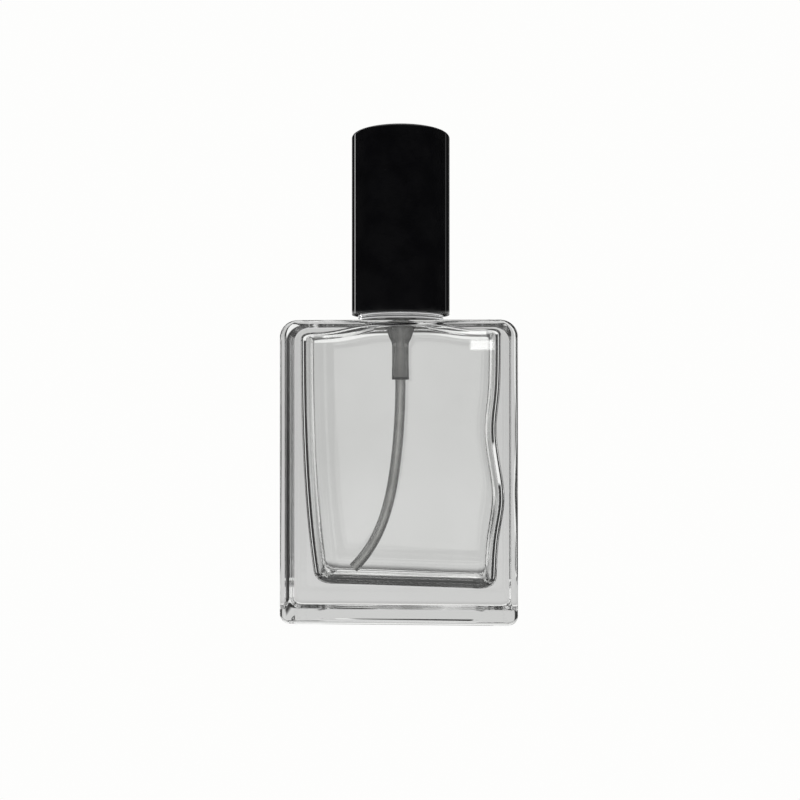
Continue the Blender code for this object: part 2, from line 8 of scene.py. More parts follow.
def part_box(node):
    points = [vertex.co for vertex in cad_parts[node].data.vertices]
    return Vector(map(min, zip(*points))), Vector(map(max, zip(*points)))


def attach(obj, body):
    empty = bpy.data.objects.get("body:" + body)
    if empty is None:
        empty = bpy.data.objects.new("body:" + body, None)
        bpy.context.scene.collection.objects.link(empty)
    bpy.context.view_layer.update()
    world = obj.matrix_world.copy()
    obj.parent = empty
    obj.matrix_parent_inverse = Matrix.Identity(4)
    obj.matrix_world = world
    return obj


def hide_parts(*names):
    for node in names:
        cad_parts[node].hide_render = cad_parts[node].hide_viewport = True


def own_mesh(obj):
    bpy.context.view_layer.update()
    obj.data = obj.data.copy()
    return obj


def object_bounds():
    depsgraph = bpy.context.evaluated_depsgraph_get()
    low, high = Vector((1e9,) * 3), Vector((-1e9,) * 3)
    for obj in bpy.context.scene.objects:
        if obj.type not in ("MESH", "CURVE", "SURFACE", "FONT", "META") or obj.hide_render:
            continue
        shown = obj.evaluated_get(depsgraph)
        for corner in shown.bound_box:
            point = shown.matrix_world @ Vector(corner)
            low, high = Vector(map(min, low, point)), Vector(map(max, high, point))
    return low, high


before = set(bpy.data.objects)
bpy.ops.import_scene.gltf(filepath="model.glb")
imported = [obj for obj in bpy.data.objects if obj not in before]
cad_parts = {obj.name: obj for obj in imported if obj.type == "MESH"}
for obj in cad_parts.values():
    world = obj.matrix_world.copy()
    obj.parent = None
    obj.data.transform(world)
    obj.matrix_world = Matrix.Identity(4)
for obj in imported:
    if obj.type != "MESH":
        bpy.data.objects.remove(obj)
cadLow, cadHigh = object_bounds()
scene = bpy.context.scene
mm = 0.001
fullTurn = 2 * math.pi
faceFront = Matrix.Rotation(math.pi / 2, 4, "X")


# camera, light and surroundings
view = {
    "azimuth": 2.2,          # degrees to the right of square on
    "eyeHeight": 42.0 * mm,
    "distance": 185.0 * mm,  # from the neck's axis
    "lens": 42.75,
    "shiftX": -0.0009,
    "shiftY": -0.0063,
}


def makeCamera():
    turn = math.radians(view["azimuth"])
    away = Vector((math.sin(turn), -math.cos(turn), 0))
    camera = bpy.data.objects.new("camera", bpy.data.cameras.new("camera"))
    scene.collection.objects.link(camera)
    camera.location = away * view["distance"] + Vector((0, 0, view["eyeHeight"]))
    camera.rotation_euler = (math.pi / 2, 0, turn)
    camera.data.lens = view["lens"]
    camera.data.sensor_width = 36
    camera.data.shift_x = view["shiftX"]
    camera.data.shift_y = view["shiftY"]
    camera.data.clip_start = 0.001
    camera.data.clip_end = 20
    scene.camera = camera


def addNode(tree, kind, inputs=None, **settings):
    made = tree.nodes.new(kind)
    for key, value in settings.items():
        setattr(made, key, value)
    for key, value in (inputs or {}).items():
        if isinstance(value, bpy.types.NodeSocket):
            tree.links.new(value, made.inputs[key])
        else:
            made.inputs[key].default_value = value
    return made


def calc(tree, operation, *values):
    return addNode(tree, "ShaderNodeMath", dict(enumerate(values)), operation=operation).outputs[0]


def ramp(tree, value, low, high, toLow=0.0, toHigh=1.0):
    made = addNode(tree, "ShaderNodeMapRange", {
        "Value": value, "From Min": low, "From Max": high, "To Min": toLow, "To Max": toHigh,
    }, interpolation_type="SMOOTHSTEP", clamp=True)
    return made.outputs["Result"]


def band(tree, value, centre, halfWidth, soft):
    away = calc(tree, "ABSOLUTE", calc(tree, "SUBTRACT", value, centre))
    return ramp(tree, away, halfWidth - soft, halfWidth + soft, 1.0, 0.0)


# strengths are plain numbers; places are in degrees, as (from, to), or as (middle, half width, softness)
surroundings = {
    "tint": (1.0, 1.0, 0.992, 1.0),
    "seenWhite": 0.985,       # the paper that the camera sees directly
    "floorRadius": 0.45,
    "floorDrop": 0.05 * mm,   # how far the paper lies under the bottle's foot
    "diffuse": 0.75,
    "overhead": 1.3,
    "overheadRise": (48, 66),

    # the softly lit wall behind the glass, which pales downwards and is brightest high up
    "wallHigh": 0.555,
    "wallLow": 0.66,
    "wallPales": (-16, 4),
    "wallTop": 0.95,
    "wallTopRise": (7, 12),
    "under": 0.15,            # what shows through the glass from steeply below
    "underRise": (-52, -26),
    "dark": 0.025,
    "bentAside": (66.0, 15.0, 2.0),

    # the same wall, seen by way of a reflection inside the glass, and of one in the cavity
    "turnedLow": 0.92,
    "turnedHigh": 0.64,
    "deepLow": 1.35,
    "deepHigh": 0.16,
    "turnedRise": (3, 9),
    "turnedFloor": (-30, -22),
    "deepCeiling": (18, 26),
    "darkRoom": (35.0, 21.5, 2.5),
    "sideLight": 0.95,
    "sideStart": (55, 59),
    "sideEnd": (67, 71),
    "sideEndFade": (4, 7),

    # what the gloss shows
    "gloss": 0.008,
    "stripLeft": 3.0,
    "stripRight": 0.35,
    "stripPlace": 46.0,
    "stripWidth": (2.2, 0.8),
    "backGlow": 0.10,
    "backPlace": (0.0, 26.0, 6.0),
    "table": 0.95,
    "tableNear": 0.2,
    "tableRise": (-5, 4.8),
    "tableEnd": (4.85, 5.1),
    "lamp": 11.0,             # a small lit box, mirrored in the glass's front face
    "lampAzimuth": (177.3, 0.7, 0.12),
    "lampElevation": (3.0, 0.28, 0.1),

    "shade": 0.07,            # painted shadow: a dark patch under the bottle, seen through its base
    "shadeMargin": 1.5 * mm,
    "shadeDrop": 0.03 * mm,
}


def makeWorld():
    world = bpy.data.worlds.new("studio")
    scene.world = world
    world.use_nodes = True
    tree = world.node_tree
    tree.nodes.clear()
    look = addNode(tree, "ShaderNodeTexCoord").outputs["Generated"]
    axes = addNode(tree, "ShaderNodeSeparateXYZ", {"Vector": look})
    path = addNode(tree, "ShaderNodeLightPath").outputs
    given = surroundings

    def times(first, second):
        return calc(tree, "MULTIPLY", first, second)

    def plus(first, second):
        return calc(tree, "ADD", first, second)

    def pick(flag, yes, no):
        return plus(times(flag, yes), times(calc(tree, "SUBTRACT", 1.0, flag), no))

    # azimuth from straight behind the bottle, and elevation, both in degrees
    azimuth = times(calc(tree, "ARCTAN2", axes.outputs["X"], axes.outputs["Y"]), 180 / math.pi)
    elevation = times(calc(tree, "ARCSINE", axes.outputs["Z"]), 180 / math.pi)
    folded = calc(tree, "PINGPONG", calc(tree, "ABSOLUTE", azimuth), 90.0)
    above = ramp(tree, elevation, *given["overheadRise"], 0.0, given["overhead"])

    # straight through the glass: a pale wall all round, darker from steeply below; a dark stretch of it
    # is met only by light that the cavity's corners have bent aside
    deep = calc(tree, "GREATER_THAN", path["Transmission Depth"], 2.5)
    wall = ramp(tree, elevation, *given["wallPales"], given["wallLow"], given["wallHigh"])
    wall = pick(ramp(tree, elevation, *given["wallTopRise"]), given["wallTop"], wall)
    bent = times(deep, band(tree, folded, *given["bentAside"]))
    wall = pick(bent, given["dark"], wall)
    low = ramp(tree, elevation, *given["underRise"])
    straight = plus(pick(low, wall, given["under"]), above)

    # by way of a reflection inside the glass: side lights, with the dark room on both sides of them
    lowDown = ramp(tree, elevation, *given["sideEndFade"], 1.0, 0.0)
    ends = times(ramp(tree, folded, *given["sideEnd"]), lowDown)
    room = plus(band(tree, folded, *given["darkRoom"]), ends)
    side = times(ramp(tree, folded, *given["sideStart"]), calc(tree, "SUBTRACT", 1.0, ends))
    turnedTop = pick(deep, given["deepHigh"], given["turnedHigh"])
    turnedBase = pick(deep, given["deepLow"], given["turnedLow"])
    turnedWall = pick(ramp(tree, elevation, *given["turnedRise"]), turnedTop, turnedBase)
    lit = pick(side, given["sideLight"], pick(room, given["dark"], turnedWall))
    level = pick(deep, ramp(tree, elevation, *given["deepCeiling"], 1.0, 0.0), 1.0)
    level = times(level, ramp(tree, elevation, *given["turnedFloor"]))
    turned = plus(pick(level, lit, given["dark"]), times(deep, above))
    through = pick(calc(tree, "GREATER_THAN", path["Glossy Depth"], 0.5), turned, straight)

    # in reflections: a dark room above a pale table, with thin bright strips behind the bottle
    gloss = plus(given["gloss"], above)
    for way, strength in ((-1, given["stripLeft"]), (1, given["stripRight"])):
        strip = band(tree, azimuth, way * given["stripPlace"], *given["stripWidth"])
        gloss = plus(gloss, times(strip, strength))
    gloss = plus(gloss, times(band(tree, azimuth, *given["backPlace"]), given["backGlow"]))
    table = ramp(tree, elevation, *given["tableRise"], given["tableNear"], given["table"])
    gloss = plus(gloss, times(table, ramp(tree, elevation, *given["tableEnd"], 1.0, 0.0)))
    lamp = times(band(tree, azimuth, *given["lampAzimuth"]), band(tree, elevation, *given["lampElevation"]))
    gloss = plus(gloss, times(lamp, given["lamp"]))

    light = pick(path["Is Glossy Ray"], gloss, plus(above, given["diffuse"]))
    light = pick(path["Is Transmission Ray"], through, light)
    light = pick(path["Is Camera Ray"], given["seenWhite"], light)
    backdrop = addNode(tree, "ShaderNodeBackground", {"Color": given["tint"], "Strength": light})
    addNode(tree, "ShaderNodeOutputWorld", {"Surface": backdrop.outputs[0]})


def layPaper(name, bm, height, strength):
    bmesh.ops.translate(bm, verts=bm.verts, vec=(0, 0, height))
    mesh = bpy.data.meshes.new(name)
    bm.to_mesh(mesh)
    bm.free()
    paper = bpy.data.objects.new(name, mesh)
    scene.collection.objects.link(paper)
    paper.visible_glossy = False
    paint = bpy.data.materials.new(name + "Paper")
    paint.use_nodes = True
    tree = paint.node_tree
    tree.nodes.clear()
    seen = addNode(tree, "ShaderNodeEmission", {"Color": surroundings["tint"], "Strength": strength})
    addNode(tree, "ShaderNodeOutputMaterial", {"Surface": seen.outputs[0]})
    mesh.materials.append(paint)
    return paper


def makeFloor():
    bm = bmesh.new()
    bmesh.ops.create_circle(bm, segments=96, radius=surroundings["floorRadius"], cap_ends=True)
    floor = layPaper("floor", bm, -surroundings["floorDrop"], surroundings["seenWhite"])
    floor.visible_transmission = False      # the glass sees the surroundings instead


def makeShade():
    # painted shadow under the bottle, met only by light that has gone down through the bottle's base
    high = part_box("glass_bottle")[1]
    spare = surroundings["shadeMargin"]
    bm = bmesh.new()
    bmesh.ops.create_grid(bm, x_segments=4, y_segments=4, size=1.0)
    bmesh.ops.scale(bm, verts=bm.verts, vec=(high.x - spare, high.y - spare, 1))
    shade = layPaper("shade", bm, -surroundings["shadeDrop"], surroundings["shade"])
    shade.visible_camera = False
    shade.visible_diffuse = False
    shade.visible_shadow = False


def finishPiece(name, bm, paint, body, replaced=(), angle=40):
    bmesh.ops.remove_doubles(bm, verts=bm.verts, dist=0.0002 * mm)
    bmesh.ops.recalc_face_normals(bm, faces=bm.faces)
    mesh = bpy.data.meshes.new(name)
    bm.to_mesh(mesh)
    bm.free()
    mesh.shade_smooth()
    mesh.set_sharp_from_angle(angle=math.radians(angle))
    mesh.materials.append(paint)
    piece = bpy.data.objects.new(name, mesh)
    scene.collection.objects.link(piece)
    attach(piece, body)
    if replaced:
        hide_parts(*replaced)
    return piece


def arc(centre, radius, start, end, steps):
    turns = [math.radians(start + (end - start) * i / steps) for i in range(steps + 1)]
    return [(centre[0] + radius * math.cos(t), centre[1] + radius * math.sin(t)) for t in turns]


def spun(outline, steps=128):
    bm = bmesh.new()
    points = [bm.verts.new((r, 0, z)) for r, z in outline]
    pairs = zip(points, points[1:] + points[:1])
    edges = [bm.edges.new(pair) for pair in pairs if pair[0].co.x or pair[1].co.x]
    bmesh.ops.spin(
        bm, geom=points + edges, cent=(0, 0, 0), axis=(0, 0, 1),
        angle=fullTurn, steps=steps, use_merge=True, use_duplicate=False,
    )
    return bm


def drawOut(bm, seat, loop, place):
    grown = bmesh.ops.extrude_edge_only(bm, edges=loop)["geom"]
    for v in grown:
        if isinstance(v, bmesh.types.BMVert):
            v.co = place(v[seat])
    return [e for e in grown if isinstance(e, bmesh.types.BMEdge) and e.is_boundary]


glass = {
    "faceWall": 3.2 * mm,
    "baseThickness": 6.6 * mm,
    "shoulderHeight": 56.0 * mm,
    "shoulderDrop": 0.3 * mm,
    "cornerRadius": 1.4 * mm,     # of the upright edges
    "leastCorner": 0.7 * mm,
    "topCorner": 3.2 * mm,        # of the outline seen square on
    "baseCorner": 1.8 * mm,
    "topEdge": 0.8 * mm,          # where the front and back faces turn over
    "baseEdge": 1.2 * mm,
    "cavityCorner": 2.8 * mm,
    "floorRadius": 2.2 * mm,
    "cavityTop": 53.9 * mm,
    "cavityTopRadius": 1.2 * mm,
    "floorSlope": 0.55 * mm,
    "roofSlope": 0.45 * mm,
    "roofArch": 1.4 * mm,
    "roofArchReach": 10.5 * mm,
    "neckRadius": 6.45 * mm,
    "boreRadius": 4.3 * mm,
    "mouthFlare": 0.7 * mm,
    "mouthHeight": 56.0 * mm,
    "flareTop": 59.0 * mm,
    "flareDrop": 2.8 * mm,
    "crownRadius": 8.4 * mm,      # where the shoulder turns level round the neck
    "neckRoot": 0.9 * mm,
    "lipRadius": 0.4 * mm,
    "threadCrest": 7.2 * mm,
    "threadPitch": 2.1167 * mm,
    "threadStart": 61.0 * mm,
    "threadTurns": 1.5,
    "threadSpare": 0.7 * mm,      # plain neck swept with the thread, below and above it
    "threadFlat": 0.12 * mm,      # half of the crest's width
    "threadFlank": 0.42 * mm,
    "threadFade": 0.16,           # of a turn
    "recessMargin": 4.5 * mm,
    "recessDepth": 0.35 * mm,
    "recessEase": 1.4 * mm,
    "fadeOver": 8.0 * mm,         # how far the floor's slope and the roof's arch reach into the walls
}


def smoothStep(value):
    value = min(1.0, max(0.0, value))
    return value * value * (3 - 2 * value)


def downHollow(height):
    return max(0.0, (glass["cavityTop"] - height) / glass["cavityTop"])


def swell(down, centre, reach):
    return math.exp(-((down - centre) / reach) ** 2)


def leftWall(height):
    return -(18.3 * mm - 3.8 * mm * downHollow(height) ** 2.6)


def rightWall(height):
    down = downHollow(height)
    waves = 1.03 * mm * swell(down, 0.58, 0.11) - 0.68 * mm * swell(down, 0.335, 0.105)
    return 18.9 * mm - 1.15 * mm * down ** 2 + waves


def ripple(x, height):
    u, w = x / (8 * mm), height / (11 * mm)
    return 0.05 * mm * (math.sin(1.1 * u + 0.7 * w + 0.4) + 0.6 * math.sin(1.9 * w - 0.8 * u + 2.0))


def onRectangle(seat, left, right, front, back, corner, height):
    halfX, halfY = cadHigh.x - glass["cornerRadius"], cadHigh.y - glass["cornerRadius"]
    cornerX = right - corner if seat.x > 0 else left + corner
    cornerY = back - corner if seat.y > 0 else front + corner
    overX, overY = abs(seat.x) - halfX, abs(seat.y) - halfY
    if overX > 0 and overY > 0:
        turn = math.atan2(overY, overX)
        signX, signY = math.copysign(1, seat.x), math.copysign(1, seat.y)
        x = cornerX + signX * corner * math.cos(turn)
        y = cornerY + signY * corner * math.sin(turn)
        return Vector((x, y, height))
    if overX > 0:
        share = (seat.y / halfY + 1) / 2
        y = (front + corner) * (1 - share) + (back - corner) * share
        return Vector((right if seat.x > 0 else left, y, height))
    share = (seat.x / halfX + 1) / 2
    x = (left + corner) * (1 - share) + (right - corner) * share
    return Vector((x, back if seat.y > 0 else front, height))


def edgeInset(radius, reach):
    return radius - math.sqrt(radius ** 2 - (radius - min(reach, radius)) ** 2)


def outerPlace(sideRadius, faceRadius, reach, height):
    side, face = edgeInset(sideRadius, reach), edgeInset(faceRadius, reach)
    corner = glass["cornerRadius"] - (glass["cornerRadius"] - glass["leastCorner"]) * face / faceRadius
    halfX, halfY = cadHigh.x - side, cadHigh.y - face
    return lambda seat: onRectangle(seat, -halfX, halfX, -halfY, halfY, corner, height)


def cavityPlace(inset, height, waves=1.0):
    def place(seat):
        front = -(cadHigh.y - glass["faceWall"]) + inset
        corner = max(glass["cavityCorner"] - 0.6 * inset, 0.8 * mm)
        left, right = leftWall(height) + inset, rightWall(height) - inset
        point = onRectangle(seat, left, right, front, -front, corner, height)
        if waves:
            side = math.copysign(1, point.y) * min(1.0, abs(point.y) / (4 * mm))
            point.y += side * waves * ripple(point.x, height + (9 * mm if side > 0 else 0))
        fade = max(0.0, 1 - (height - glass["baseThickness"]) / glass["fadeOver"])
        point.z -= glass["floorSlope"] * fade * point.x / cadHigh.x
        return underRoof(point)
    return place


def underRoof(point):
    fade = smoothStep(1 - (glass["cavityTop"] - point.z) / glass["fadeOver"])
    arch = glass["roofArch"] * math.exp(-(point.x / glass["roofArchReach"]) ** 4)
    point.z += fade * (glass["roofSlope"] * point.x / cadHigh.x + arch)
    return point


def roundPlace(radius, height):
    def place(seat):
        turn = math.atan2(seat.y, seat.x)
        return Vector((radius * math.cos(turn), radius * math.sin(turn), height))
    return place


def threadPlace(height):
    def place(seat):
        turn = math.atan2(seat.y, seat.x) % fullTurn
        rise = 0.0
        for lap in range(3):
            wound = turn / fullTurn + lap
            if wound > glass["threadTurns"]:
                continue
            ends = min(1.0, min(wound, glass["threadTurns"] - wound) / glass["threadFade"])
            middle = glass["threadStart"] + glass["threadPitch"] * wound
            off = abs(height - middle)
            flank = smoothStep((off - glass["threadFlat"]) / glass["threadFlank"])
            rise = max(rise, ends * (1 - flank))
        radius = glass["neckRadius"] + (glass["threadCrest"] - glass["neckRadius"]) * rise
        return Vector((radius * math.cos(turn), radius * math.sin(turn), height))
    return place


def between(first, second, share, bend=2.0):
    def place(seat):
        start, end = first(seat), second(seat)
        point = start.lerp(end, share)
        point.z = start.z + (end.z - start.z) * share ** bend
        return point
    return place


def roundedEdge(radius, steps):
    turns = [math.pi / 2 * i / steps for i in range(steps + 1)]
    return [(radius * (1 - math.sin(t)), radius * (1 - math.cos(t))) for t in turns]


def outsidePlaces():
    edge = glass["shoulderHeight"] - glass["shoulderDrop"]
    steps = 16
    places = []
    for i in range(steps + 1):
        reach = glass["baseCorner"] * (i / steps) ** 2
        places.append(outerPlace(glass["baseCorner"], glass["baseEdge"], reach, reach))
    side, face, top = glass["topCorner"], glass["topEdge"], glass["shoulderHeight"]
    places += [outerPlace(side, face, top, edge * share) for share in (0.25, 0.5, 0.75)]
    for i in reversed(range(steps + 1)):
        reach = glass["topCorner"] * (i / steps) ** 2
        places.append(outerPlace(glass["topCorner"], glass["topEdge"], reach, edge - reach))
    crown = roundPlace(glass["crownRadius"], glass["shoulderHeight"])
    return places + [between(places[-1], crown, i / 12, 0.7) for i in range(1, 13)]


def neckPlaces():
    top, neck, bore = glass["shoulderHeight"], glass["neckRadius"], glass["boreRadius"]
    root, lip, flare = glass["neckRoot"], glass["lipRadius"], glass["mouthFlare"]
    places = [roundPlace(r, z) for r, z in arc((neck + root, top + root), root, 270, 180, 8)]
    places.append(roundPlace(neck, top + 3.5 * mm))
    steps = 46
    low = glass["threadStart"] - glass["threadSpare"]
    high = glass["threadStart"] + glass["threadPitch"] * glass["threadTurns"] + glass["threadSpare"]
    places += [threadPlace(low + (high - low) * i / steps) for i in range(steps + 1)]
    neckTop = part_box("glass_bottle")[1].z
    places += [roundPlace(r, z) for r, z in arc((neck - lip, neckTop - lip), lip, 0, 90, 5)]
    places += [roundPlace(r, z) for r, z in arc((bore + lip, neckTop - lip), lip, 90, 180, 5)]
    places += [roundPlace(bore, z) for z in (64 * mm, 60 * mm)]
    steps = 6
    for i in range(steps + 1):
        height = glass["flareTop"] - glass["flareDrop"] * i / steps
        places.append(roundPlace(bore + flare * smoothStep(i / steps), height))
    return places


def hollowPlaces():
    base, top, topRadius = glass["baseThickness"], glass["cavityTop"], glass["cavityTopRadius"]
    roofEdge = cavityPlace(topRadius, top)
    mouth = roundPlace(glass["boreRadius"] + glass["mouthFlare"] + 0.1 * mm, glass["mouthHeight"])
    steps = 17
    places = [between(roofEdge, mouth, 1 - i / steps, 3.0) for i in range(steps)]
    places += [cavityPlace(inset, top - rise) for inset, rise in roundedEdge(topRadius, 8)]
    first, last = top - topRadius, base + glass["floorRadius"]
    steps = 70
    places += [cavityPlace(0, first + (last - first) * i / steps) for i in range(1, steps + 1)]
    floorEdge = reversed(roundedEdge(glass["floorRadius"], 12))
    places += [cavityPlace(inset, base + rise) for inset, rise in floorEdge][1:]
    return places + [cavityPlace(inset * mm, base, 0.0) for inset in (3.4, 4.6, 6.0, 7.4)]


def makeGlass():
    bm = bmesh.new()
    thin = 0.2 * mm
    size = Matrix.Diagonal((2 * cadHigh.x, 2 * cadHigh.y, thin, 1))
    bmesh.ops.create_cube(bm, size=1, matrix=size)
    upright = [e for e in bm.edges if abs(e.verts[0].co.z - e.verts[1].co.z) > thin / 2]
    bmesh.ops.bevel(
        bm, geom=upright, offset=glass["cornerRadius"], affect="EDGES",
        segments=14, profile=0.5, material=-1,
    )
    nudge = 0.04 * mm
    spanX, spanY = cadHigh.x - glass["cornerRadius"] - nudge, cadHigh.y - glass["cornerRadius"] - nudge
    for normal, span, count in (((1, 0, 0), spanX, 34), ((0, 1, 0), spanY, 20)):
        for i in range(count + 1):
            at = Vector(normal) * (-span + 2 * span * i / count)
            whole = bm.verts[:] + bm.edges[:] + bm.faces[:]
            bmesh.ops.bisect_plane(bm, geom=whole, plane_co=at, plane_no=normal)
    lid = [f for f in bm.faces if f.normal.z > 0.5]
    bmesh.ops.delete(bm, geom=lid, context="FACES")
    walls = [f for f in bm.faces if abs(f.normal.z) < 0.5]
    bmesh.ops.delete(bm, geom=walls, context="FACES")
    seat = bm.verts.layers.float_vector.new("seat")
    for v in bm.verts:
        v[seat] = v.co
    loop = [e for e in bm.edges if e.is_boundary]
    for v in bm.verts:
        v.co = basePoint(v)
    for place in outsidePlaces() + neckPlaces() + hollowPlaces():
        loop = drawOut(bm, seat, loop, place)
    bmesh.ops.contextual_create(bm, geom=loop)
    bm.verts.layers.float_vector.remove(seat)
    return finishPiece("glassBody", bm, paints["glass"], "bottle", ["glass_bottle"], 180)


def basePoint(v):
    edge = cadHigh.x - glass["recessMargin"], cadHigh.y - glass["recessMargin"]
    inside = min(edge[0] - abs(v.co.x), edge[1] - abs(v.co.y))
    shrink = Vector((1 - glass["baseCorner"] / cadHigh.x, 1 - glass["baseEdge"] / cadHigh.y, 0))
    foot = outerPlace(glass["baseCorner"], glass["baseEdge"], 0, 0)(v.co)
    point = foot if v.is_boundary else v.co * shrink
    point.z = glass["recessDepth"] * smoothStep(inside / glass["recessEase"])
    return point


# what the finishes share
def makeGroup(name, inputs, outputs):
    tree = bpy.data.node_groups.new(name, "ShaderNodeTree")
    for label, kind, value in inputs:
        socket = tree.interface.new_socket(name=label, in_out="INPUT", socket_type=kind)
        socket.default_value = value
    for label, kind in outputs:
        tree.interface.new_socket(name=label, in_out="OUTPUT", socket_type=kind)
    return tree, tree.nodes.new("NodeGroupInput").outputs, tree.nodes.new("NodeGroupOutput")


def mixColors(tree, share, first, second):
    made = addNode(tree, "ShaderNodeMix", {"Factor": share, "A": first, "B": second}, data_type="RGBA")
    return made.outputs["Result"]


def makeToneDrift():
    tree, given, out = makeGroup("toneDrift", [
        ("First", "NodeSocketColor", (1, 1, 1, 1)), ("Second", "NodeSocketColor", (0, 0, 0, 1)),
        ("Scale", "NodeSocketFloat", 200.0),
    ], [("Color", "NodeSocketColor")])
    place = addNode(tree, "ShaderNodeTexCoord").outputs["Object"]
    noise = addNode(tree, "ShaderNodeTexNoise", {
        "Vector": place, "Scale": given["Scale"], "Detail": 4.0, "Roughness": 0.6,
    })
    mask = ramp(tree, noise.outputs["Fac"], 0.32, 0.68)
    tree.links.new(mixColors(tree, mask, given["First"], given["Second"]), out.inputs["Color"])
    return tree


def makePolishDrift():
    tree, given, out = makeGroup("polishDrift", [
        ("Low", "NodeSocketFloat", 0.1), ("High", "NodeSocketFloat", 0.2),
        ("Scale", "NodeSocketFloat", 150.0),
    ], [("Roughness", "NodeSocketFloat")])
    place = addNode(tree, "ShaderNodeTexCoord").outputs["Object"]
    broad = addNode(tree, "ShaderNodeTexNoise", {"Vector": place, "Scale": given["Scale"], "Detail": 5.0})
    share = ramp(tree, broad.outputs["Fac"], 0.35, 0.7)
    made = addNode(tree, "ShaderNodeMapRange", {
        "Value": share, "To Min": given["Low"], "To Max": given["High"],
    })
    tree.links.new(made.outputs["Result"], out.inputs["Roughness"])
    return tree


def makeFineGrain():
    tree, given, out = makeGroup("fineGrain", [
        ("Scale", "NodeSocketFloat", 2000.0), ("Stretch", "NodeSocketVector", (1, 1, 1)),
    ], [("Height", "NodeSocketFloat")])
    place = addNode(tree, "ShaderNodeTexCoord").outputs["Object"]
    pulled = addNode(tree, "ShaderNodeVectorMath", {0: place, 1: given["Stretch"]}, operation="MULTIPLY")
    noise = addNode(tree, "ShaderNodeTexNoise", {
        "Vector": pulled.outputs[0], "Scale": given["Scale"], "Detail": 3.0, "Roughness": 0.55,
    })
    tree.links.new(noise.outputs["Fac"], out.inputs["Height"])
    return tree


def makeEdgeWear():
    tree, given, out = makeGroup("edgeWear", [
        ("Color", "NodeSocketColor", (0, 0, 0, 1)), ("Worn", "NodeSocketColor", (1, 1, 1, 1)),
        ("Reach", "NodeSocketFloat", 0.54),
    ], [("Color", "NodeSocketColor")])
    place = addNode(tree, "ShaderNodeTexCoord").outputs["Object"]
    sharp = addNode(tree, "ShaderNodeNewGeometry").outputs["Pointiness"]
    edge = ramp(tree, calc(tree, "SUBTRACT", sharp, given["Reach"]), 0.0, 0.05)
    chips = addNode(tree, "ShaderNodeTexNoise", {"Vector": place, "Scale": 900.0, "Detail": 4.0})
    mask = calc(tree, "MULTIPLY", edge, ramp(tree, chips.outputs["Fac"], 0.48, 0.62))
    tree.links.new(mixColors(tree, mask, given["Color"], given["Worn"]), out.inputs["Color"])
    return tree


finishes = {
    "glass": {
        "tones": ((0.988, 0.991, 0.987), (0.958, 0.962, 0.956)), "toneScale": 60,
        "polish": (0.0, 0.006), "grain": 160, "bump": 0.012, "ior": 1.5, "transmission": 1.0,
    },
    "cap": {
        "tones": ((0.0025, 0.0025, 0.003), (0.0045, 0.0045, 0.005)), "toneScale": 220,
        "polish": (0.02, 0.05), "grain": 700, "bump": 0.012, "ior": 1.45,
    },
    "liner": {
        "tones": ((0.016, 0.016, 0.018), (0.024, 0.024, 0.026)), "toneScale": 300,
        "polish": (0.38, 0.5), "grain": 2500, "bump": 0.08,
    },
    "collar": {
        "tones": ((0.93, 0.93, 0.94), (0.88, 0.88, 0.89)), "toneScale": 260,
        "polish": (0.07, 0.13), "grain": 1500, "stretch": (1, 1, 14), "bump": 0.05,
        "metallic": 0.7, "worn": (0.55, 0.55, 0.56),
    },
    "white": {
        "tones": ((0.78, 0.78, 0.76), (0.72, 0.72, 0.70)), "toneScale": 240,
        "polish": (0.3, 0.42), "grain": 2200, "bump": 0.06,
    },
    "button": {
        "tones": ((0.010, 0.010, 0.011), (0.016, 0.016, 0.017)), "toneScale": 320,
        "polish": (0.18, 0.28), "grain": 2600, "bump": 0.05,
    },
    "natural": {
        "tones": ((0.50, 0.50, 0.49), (0.36, 0.36, 0.35)), "toneScale": 350,
        "polish": (0.1, 0.2), "grain": 1800, "bump": 0.06,
        # edge: painted shade colour for the outlines
        "transmission": 0.75, "ior": 1.49, "edge": (0.02, 0.02, 0.02),
    },
    # painted shade: a dark finish for the ring at the tail's mouth
    "tailPaintedShade": {
        "tones": ((0.018, 0.018, 0.018), (0.008, 0.008, 0.008)), "toneScale": 600,
        "polish": (0.5, 0.6), "grain": 1800, "bump": 0.06,
    },
    "tube": {
        "tones": ((0.66, 0.66, 0.65), (0.56, 0.56, 0.55)), "toneScale": 300,
        "polish": (0.06, 0.14), "grain": 900, "bump": 0.05,
        # edge: painted shade colour for the outlines
        "transmission": 0.92, "ior": 1.5, "edge": (0.05, 0.05, 0.05),
    },
    "rubber": {
        "tones": ((0.42, 0.40, 0.40), (0.36, 0.345, 0.34)), "toneScale": 500,
        "polish": (0.65, 0.8), "grain": 3000, "bump": 0.12,
    },
    "steel": {
        "tones": ((0.64, 0.64, 0.65), (0.56, 0.56, 0.57)), "toneScale": 600,
        "polish": (0.16, 0.3), "grain": 2400, "bump": 0.05, "metallic": 1.0,
    },
}


